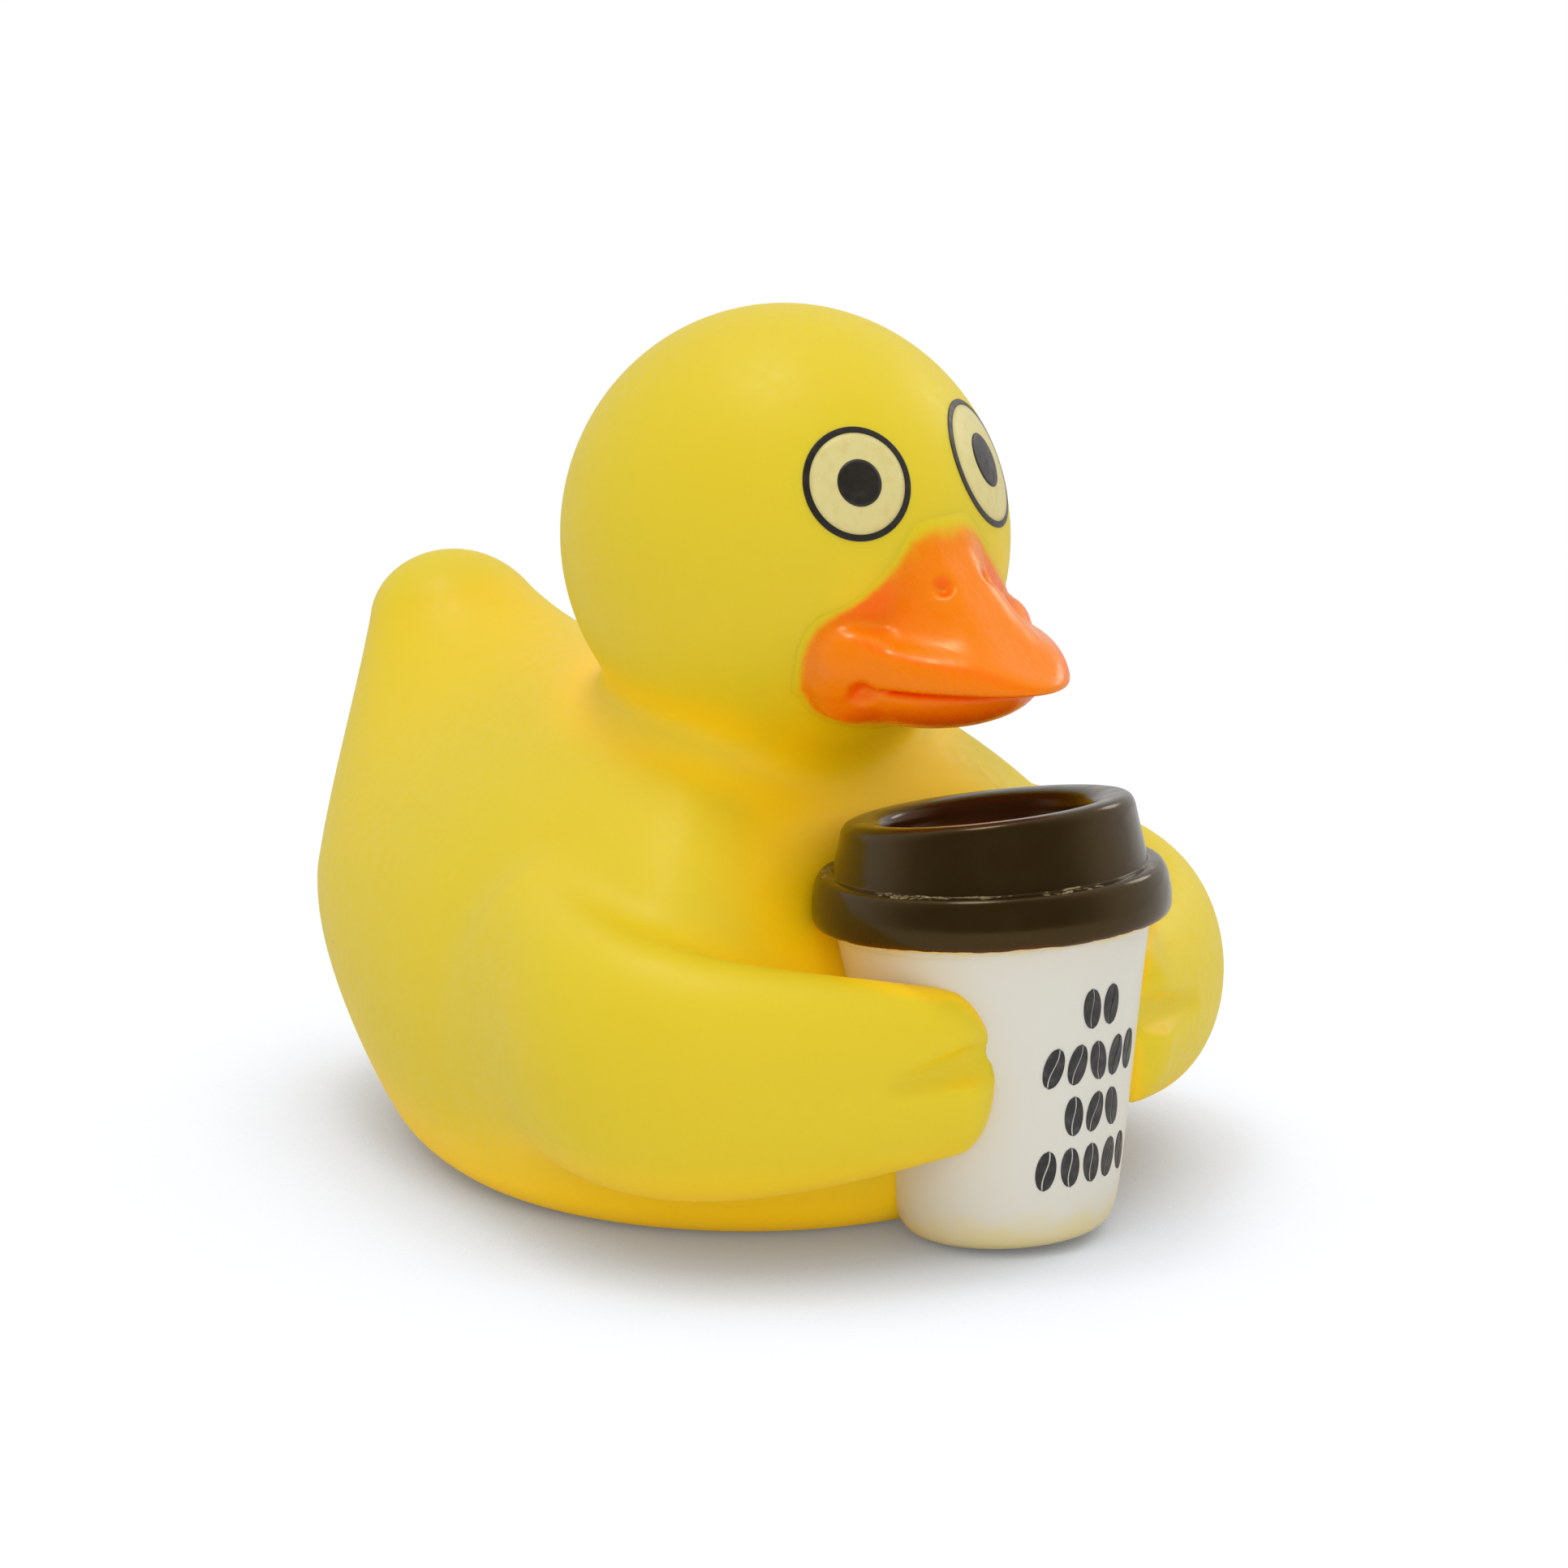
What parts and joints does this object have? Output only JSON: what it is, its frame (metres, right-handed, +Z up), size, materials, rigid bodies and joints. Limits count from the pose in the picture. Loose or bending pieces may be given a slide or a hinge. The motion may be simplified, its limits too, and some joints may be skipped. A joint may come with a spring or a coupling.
{
  "type": "rubber duck",
  "caption": "Hollow soft vinyl duck with a painted bill and printed eyes, hugging a lidded takeaway cup between its wings, moulded in one piece with a flat vented base",
  "frame": {"origin": "centre of the bounding box's underside, on the surface that the duck stands on", "axes": "+Z up; the duck faces -Y; its left and right halves mirror across X = 0"},
  "size_m": [0.0808, 0.1026, 0.0849],
  "materials": {
    "yellow_vinyl": "satin",
    "orange_paint": "satin",
    "off_white_paint": "satin",
    "brown_paint": "gloss",
    "black_print": "matt",
    "cream_print": "satin"
  },
  "bodies": {
    "root": {"duck_body": "yellow_vinyl"}
  },
  "joints": []
}
